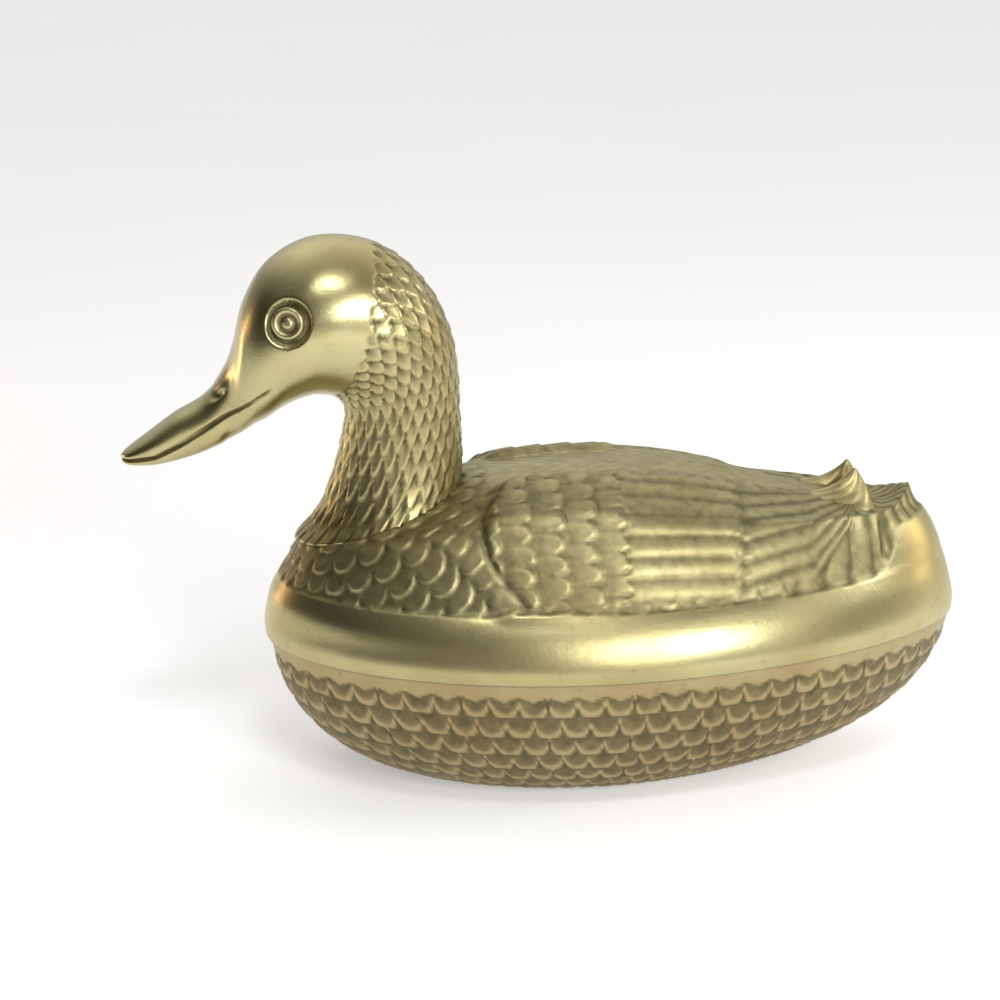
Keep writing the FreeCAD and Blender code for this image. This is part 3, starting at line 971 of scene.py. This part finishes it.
# Height and place of the border between the scales and the smooth face
face_border = (
    (92.0, -78.0), (96.0, -63.0), (102.3, -57.2), (110.6, -54.6), (122.3, -52.0), (133.7, -51.2))
face_border_width = 1.4
face_hollow = 0.08
eye_turn = math.radians(14)
eye_lift = math.radians(10)
eye_seat_border = (5.74, 0.8)
eye_seat_depth = 1.25
eye_seat_hollow = 0.8
# Place and height along the mouth, from the beak's tip to its corner
mouth_line = (
    (-110.5, 82.2), (-104.1, 83.4), (-98.0, 86.6), (-91.5, 90.9), (-83.6, 96.2), (-76.0, 101.7))
mouth_slant = math.radians(34)
mouth_depth = 0.75
mouth_half_height = 0.42
mouth_corner_border = (-75.0, 3.0)
nostril_x = -88.9
nostril_height = 98.4
nostril_slant = math.radians(40)
nostril_half_length = 1.7
nostril_half_width = 0.65
nostril_depth = 0.9


def eye_axis(side):
    """The way an eye looks; side is -1 for the duck's left and 1 for its right."""
    return np.array([
        -math.sin(eye_turn) * math.cos(eye_lift),
        side * math.cos(eye_turn) * math.cos(eye_lift),
        math.sin(eye_lift),
    ])


def eye_distance(x, y, z):
    """Distance from the axis of the eye on the same side."""
    middle = (eye_low + eye_high) / 2
    axis = eye_axis(-1)
    offset = np.stack([x - middle.x, -np.abs(y) - middle.y, z - middle.z], axis=-1)
    along = offset @ axis
    return np.linalg.norm(offset - along[..., None] * axis, axis=-1)


def make_head():
    """The casting with its scales, eye seats, mouth and nostrils."""
    smooth = head_surface()
    x, y, z = np.moveaxis(smooth, 2, 0)
    down = (1 - np.arange(head_points_along) / (head_points_along - 1)) * nape_length / neck_row
    around = np.arange(head_points_round) / head_points_round * neck_scales_round
    scales = feathers(
        down[:, None], lambda row: around[None, :], neck_bluntness, neck_slope, neck_tip_power)[0]
    face_end = np.interp(z, *zip(*face_border))
    scaled = rising(x, face_end - face_border_width / 2, face_border_width)
    relief = neck_relief * (scales - neck_level) * scaled
    hollow = (1 - scales) * scaled + face_hollow * (1 - scaled)

    seat = falling(eye_distance(x, y, z), *eye_seat_border)
    relief = relief - eye_seat_depth * seat
    hollow = np.maximum(hollow, eye_seat_hollow * seat)

    mouth_gap = (z - np.interp(x, *zip(*mouth_line))) * math.cos(mouth_slant)
    mouth = bell(mouth_gap, mouth_half_height) * falling(x, *mouth_corner_border)
    ahead = x - nostril_x
    above = z - nostril_height
    along = ahead * math.cos(nostril_slant) + above * math.sin(nostril_slant)
    across = above * math.cos(nostril_slant) - ahead * math.sin(nostril_slant)
    nostril = bell(along, nostril_half_length) * bell(across, nostril_half_width)
    relief = relief - mouth_depth * mouth - nostril_depth * nostril
    hollow = np.clip(np.maximum(hollow, np.maximum(mouth, nostril)), 0, 1)

    off_foot = ease(np.arange(head_points_along) / foot_fade_rings)[:, None]
    grid = raised(smooth, relief * off_foot - head_sink)
    piece = make_piece("head_casting", grid, hollow, "cover")
    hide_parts("head_and_neck")
    return piece


head = make_head()

# %% [markdown]
# The eyes are turned studs, so one short profile, swung round the eye's axis, makes them. A
# raised dot stands in a ring groove, and a low round button surrounds it. The place comes
# from the front face of the stud in the frame.

# %% The eyes
# Radius, height over the stud's front, and how hollow it is there
eye_rows = [
    (0.03, -0.02, 0.05),
    (0.75, -0.05, 0.05),
    (1.20, -0.28, 0.60),
    (1.60, -0.55, 1.00),
    (2.10, -0.55, 1.00),
    (2.50, -0.25, 0.50),
    (3.00, -0.05, 0.05),
    (3.45, -0.15, 0.10),
    (3.75, -0.60, 0.60),
    (3.80, -1.70, 0.90),
]
eye_rings = 80
eye_points = 96
front_face_depth = 0.05


def make_eye(name, side):
    """A turned stud; side is -1 for the duck's left and 1 for its right."""
    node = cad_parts[name]
    points = np.array([vertex.co[:] for vertex in node.data.vertices]) / mm
    axis = eye_axis(side)
    reach = points @ axis
    front = points[reach > reach.max() - front_face_depth].mean(axis=0)
    level = np.cross(axis, [0, 0, 1])
    level = level / np.linalg.norm(level)
    upright = np.cross(level, axis)
    angle = np.arange(eye_points)[:, None] / eye_points * 2 * math.pi
    spokes = np.cos(angle) * level + np.sin(angle) * upright
    profile = through(eye_rows, np.linspace(0, len(eye_rows) - 1, eye_rings))
    grid = np.array([front + height * axis + radius * spokes for radius, height, _ in profile])
    depths = np.repeat(profile[:, 2:], eye_points, axis=1)
    piece = make_piece(name + "_stud", grid, depths, "cover")
    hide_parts(name)
    return piece


eyes = [make_eye("eye_left", -1), make_eye("eye_right", 1)]

# %% [markdown]
# A finish is a small net of nodes. These helpers add one node each and join it up, so that
# the finishes below read like recipes. Noise lies mostly between 0.3 and 0.7, and spread turns
# that range into the one that a colour or a roughness needs.

# %% Helpers for a finish


def add_node(tree, kind, **settings):
    """A new node in a material, with some of its settings."""
    node = tree.nodes.new(kind)
    for name, value in settings.items():
        setattr(node, name, value)
    return node


def noise(tree, place, scale, detail, stretch=(1, 1, 1)):
    """Noise in the object's own space; scale is in waves for each metre."""
    mapping = add_node(tree, "ShaderNodeMapping")
    mapping.inputs["Scale"].default_value = stretch
    tree.links.new(place.outputs["Object"], mapping.inputs["Vector"])
    texture = add_node(tree, "ShaderNodeTexNoise")
    texture.inputs["Scale"].default_value = scale
    texture.inputs["Detail"].default_value = detail
    tree.links.new(mapping.outputs["Vector"], texture.inputs["Vector"])
    return texture.outputs["Fac"]


def spread(tree, value, low, high, to_low, to_high):
    """The value, moved from one range to another and held inside it."""
    node = add_node(tree, "ShaderNodeMapRange", clamp=True)
    tree.links.new(value, node.inputs["Value"])
    names = ("From Min", "From Max", "To Min", "To Max")
    for name, number in zip(names, (low, high, to_low, to_high)):
        node.inputs[name].default_value = number
    return node.outputs["Result"]


def mixed(tree, share, first, second):
    """A colour between two, where each may be a colour or another node's output."""
    node = add_node(tree, "ShaderNodeMix", data_type="RGBA")
    tree.links.new(share, node.inputs["Factor"])
    for socket, colour in ((node.inputs[6], first), (node.inputs[7], second)):
        if isinstance(colour, tuple):
            socket.default_value = (*colour, 1)
        else:
            tree.links.new(colour, socket)
    return node.outputs[2]


def added(tree, first, second):
    """The sum of two values."""
    node = add_node(tree, "ShaderNodeMath", operation="ADD")
    tree.links.new(first, node.inputs[0])
    tree.links.new(second, node.inputs[1])
    return node.outputs["Value"]


def bumped(tree, height, strength, distance, below=None):
    """A surface made uneven by a height, over another such surface if there is one."""
    node = add_node(tree, "ShaderNodeBump")
    node.inputs["Strength"].default_value = strength
    node.inputs["Distance"].default_value = distance
    tree.links.new(height, node.inputs["Height"])
    if below is not None:
        tree.links.new(below, node.inputs["Normal"])
    return node.outputs["Normal"]


# %% [markdown]
# Brass of this kind is satin, not mirror bright. It is paler where hands polish it and brown
# in the hollows, with clouds of tarnish over a few centimetres, a fine cast grain, and
# faint polishing lines along the smooth band. One function makes the finish, and each kind of
# piece has its own tones and polish. The hull's tones are darker than the lid's, as painted
# shade on the lower body.

# %% The brass
# Waves for each metre of the clouds, specks, grain and polishing lines
cloud_waves = 38
speck_waves = 420
grain_waves = 1500
line_waves = 60
line_stretch = (1, 1, 38)
speck_tarnish = 0.22
speck_raggedness = 0.12
hollow_roughness = 0.16


def brass(name, bright, warm, smoothest, roughest, depth):
    """Satin brass with tarnish in its hollows; depth is how dark the hollows go."""
    material = bpy.data.materials.new(name)
    material.use_nodes = True
    tree = material.node_tree
    shader = tree.nodes["Principled BSDF"]
    shader.inputs["Metallic"].default_value = 1.0
    place = add_node(tree, "ShaderNodeTexCoord")
    clouds = noise(tree, place, cloud_waves, 5)
    specks = noise(tree, place, speck_waves, 6)
    grain = noise(tree, place, grain_waves, 4)
    lines = noise(tree, place, line_waves, 6, line_stretch)
    hollow = add_node(tree, "ShaderNodeAttribute", attribute_name="hollow").outputs["Fac"]
    metal = mixed(tree, spread(tree, clouds, 0.35, 0.68, 0, 1), bright, warm)
    speckled = mixed(tree, spread(tree, specks, 0.58, 0.78, 0, speck_tarnish), metal, olive_tarnish)
    ragged = spread(tree, specks, 0.3, 0.7, -speck_raggedness, speck_raggedness)
    in_hollow = spread(tree, added(tree, hollow, ragged), 0.25, 0.95, 0, depth)
    tree.links.new(mixed(tree, in_hollow, speckled, olive_tarnish), shader.inputs["Base Color"])
    rough = spread(tree, clouds, 0.3, 0.7, smoothest, roughest)
    rough = added(tree, rough, spread(tree, hollow, 0.1, 0.8, 0, hollow_roughness))
    tree.links.new(rough, shader.inputs["Roughness"])
    cast = bumped(tree, grain, 0.35, 0.05 * mm)
    dented = bumped(tree, specks, 0.30, 0.12 * mm, cast)
    tree.links.new(bumped(tree, lines, 0.12, 0.08 * mm, dented), shader.inputs["Normal"])
    return material


def finish(objects, material):
    """Gives one material to several pieces."""
    for thing in objects:
        thing.data.materials.clear()
        thing.data.materials.append(material)


bright_brass = (0.52, 0.48, 0.245)
warm_brass = (0.44, 0.375, 0.18)
# The hull's two tones are darker copies of the lid's brass: painted shade for the lower body
shaded_hull_brass = (0.44, 0.38, 0.20)
warm_shaded_hull_brass = (0.40, 0.30, 0.15)
bright_eye = (0.60, 0.54, 0.29)
bright_fixing = (0.70, 0.58, 0.28)
olive_tarnish = (0.10, 0.088, 0.042)
fixings = [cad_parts[name] for name in ("neck_stud", "neck_washer", "neck_nut")]
finish([lid, *leaves], brass("lid_brass", bright_brass, warm_brass, 0.28, 0.38, 0.85))
finish([head], brass("head_brass", bright_brass, warm_brass, 0.25, 0.32, 0.9))
# The bowl gets the darker hull tones, which are painted shade on the lower body
finish([bowl], brass("bowl_brass", shaded_hull_brass, warm_shaded_hull_brass, 0.32, 0.44, 0.9))
finish(eyes, brass("eye_brass", bright_eye, warm_brass, 0.28, 0.36, 0.8))
finish(fixings, brass("fixing_brass", bright_fixing, warm_brass, 0.28, 0.38, 0.6))
print("materials:", [material.name for material in bpy.data.materials])

# %% [markdown]
# The floor is plain and pale, a single large sheet. A little light of its own keeps it as white
# as the paper under a photographed ornament, without stronger lamps on the metal.

# %% The floor
floor_reach = 8
floor_dark = (0.84, 0.84, 0.85)
floor_light = (0.87, 0.87, 0.88)
floor_glow = 0.41


def make_sheet(name, corners, material):
    """A flat sheet with one finish."""
    mesh = bpy.data.meshes.new(name)
    mesh.from_pydata(corners, [], [(0, 1, 2, 3)])
    sheet = bpy.data.objects.new(name, mesh)
    bpy.context.scene.collection.objects.link(sheet)
    mesh.materials.append(material)


def matt(name, dark, light, glow):
    """A matt finish between two tones, with some light of its own."""
    material = bpy.data.materials.new(name)
    material.use_nodes = True
    tree = material.node_tree
    shader = tree.nodes["Principled BSDF"]
    place = add_node(tree, "ShaderNodeTexCoord")
    tone = spread(tree, noise(tree, place, 3, 3), 0.3, 0.7, 0, 1)
    tree.links.new(mixed(tree, tone, dark, light), shader.inputs["Base Color"])
    shader.inputs["Roughness"].default_value = 1.0
    shader.inputs["Specular IOR Level"].default_value = 0.0
    shader.inputs["Emission Color"].default_value = (*light, 1)
    shader.inputs["Emission Strength"].default_value = glow
    return material


floor_corners = [
    (-floor_reach, -floor_reach, 0), (floor_reach, -floor_reach, 0),
    (floor_reach, floor_reach, 0), (-floor_reach, floor_reach, 0),
]
make_sheet("floor", floor_corners, matt("pale_floor", floor_dark, floor_light, floor_glow))
print("floor", 2 * floor_reach, "m wide")

# %% [markdown]
# Metal shows what stands round it, so the room is bright behind the duck and dark in front,
# where the camera stands. It is darkest on the left, which keeps that side of the metal deep.
# The directions of the sky are mixed with soft borders, so no hard edge shows in the brass.

# %% The room
def make_room():
    """Bright behind and above, dark in front and to the left."""
    world = bpy.data.worlds.new("room")
    world.use_nodes = True
    tree = world.node_tree
    background = tree.nodes["Background"]
    place = add_node(tree, "ShaderNodeTexCoord")
    parts = add_node(tree, "ShaderNodeSeparateXYZ")
    tree.links.new(place.outputs["Generated"], parts.inputs["Vector"])
    up = spread(tree, parts.outputs["Z"], 0.1, 0.7, 0, 1)
    side = spread(tree, parts.outputs["X"], -0.8, 0.6, 0, 1)
    behind = spread(tree, parts.outputs["Y"], -0.5, 0.6, 0, 1)
    low_front = mixed(tree, side, (0.06, 0.055, 0.05), (0.28, 0.265, 0.24))
    low_back = mixed(tree, side, (0.40, 0.40, 0.40), (0.70, 0.70, 0.68))
    front = mixed(tree, up, low_front, (0.15, 0.145, 0.13))
    back = mixed(tree, up, low_back, (1.22, 1.20, 1.17))
    not_left = spread(tree, parts.outputs["X"], -0.85, -0.35, 0, 1)
    room = mixed(tree, not_left, (0.045, 0.042, 0.04), mixed(tree, behind, front, back))
    tree.links.new(room, background.inputs["Color"])
    background.inputs["Strength"].default_value = 1.0
    bpy.context.scene.world = world


make_room()
print("world:", bpy.context.scene.world.name)

# %% [markdown]
# A broad soft light draws the long highlight on the band, a small one the spot on the crown
# of the head, and one from the right keeps the nape bright. Two low warm ones put a little
# colour into the edges.

# %% The lights
duck_middle = Vector((-0.01, 0.0, 0.06))


def make_light(name, place, size, power, colour=(1, 1, 1)):
    """A soft light that faces the duck."""
    data = bpy.data.lights.new(name, "AREA")
    data.shape = "RECTANGLE"
    data.size, data.size_y = size
    data.energy = power
    data.color = colour
    light = bpy.data.objects.new(name, data)
    light.location = place
    light.rotation_mode = "QUATERNION"
    light.rotation_quaternion = (duck_middle - Vector(place)).to_track_quat("-Z", "Y")
    bpy.context.scene.collection.objects.link(light)


make_light("key", (0.30, -0.72, 0.40), (0.42, 0.26), 3.7)
make_light("side", (0.70, -0.15, 0.45), (0.20, 0.20), 1.0)
make_light("crown", (-0.03, -0.39, 0.71), (0.17, 0.14), 1.0)
make_light("right_low", (0.75, 0.05, 0.20), (0.12, 0.20), 0.30, (1.0, 0.72, 0.45))
make_light("left_low", (-0.44, 0.31, 0.08), (0.06, 0.14), 0.16, (1.0, 0.62, 0.38))
print("lights:", [light.name for light in bpy.data.lights])

# %% [markdown]
# The camera looks from where the photo was taken: a little to the duck's front, looking down
# on it by about a fifth of a right angle, with a long lens.

# %% Camera
camera_azimuth = math.radians(-7)
camera_elevation = math.radians(18.5)
camera_distance = 0.555
camera_target = Vector((-0.0109, 0.0072, 0.063))
lens = 80
sensor = 36
# The image's size, and where in it the target is seen
image_size = 1000
image_middle = image_size / 2
target_column = 537
target_row = 507

back = Vector((
    math.sin(camera_azimuth) * math.cos(camera_elevation),
    -math.cos(camera_azimuth) * math.cos(camera_elevation),
    math.sin(camera_elevation),
))
right = Vector((math.cos(camera_azimuth), math.sin(camera_azimuth), 0))
up = back.cross(right)
pixel = camera_distance / (image_size * lens / sensor)
camera_data = bpy.data.cameras.new("camera")
camera_data.lens = lens
camera_data.sensor_width = sensor
camera = bpy.data.objects.new("camera", camera_data)
turned = Matrix((right, up, back)).transposed().to_4x4()
place = camera_target + back * camera_distance
place = place - right * ((target_column - image_middle) * pixel)
place = place + up * ((target_row - image_middle) * pixel)
camera.matrix_world = Matrix.Translation(place) @ turned
bpy.context.scene.collection.objects.link(camera)
bpy.context.scene.camera = camera
bpy.context.scene.view_settings.view_transform = "Standard"
print("camera at", [round(value, 4) for value in place])

# %% [markdown]
# Dressing the castings must not change the object's size. Last, the scene is brought up to date.

# %% Bring the scene up to date
bpy.context.view_layer.update()
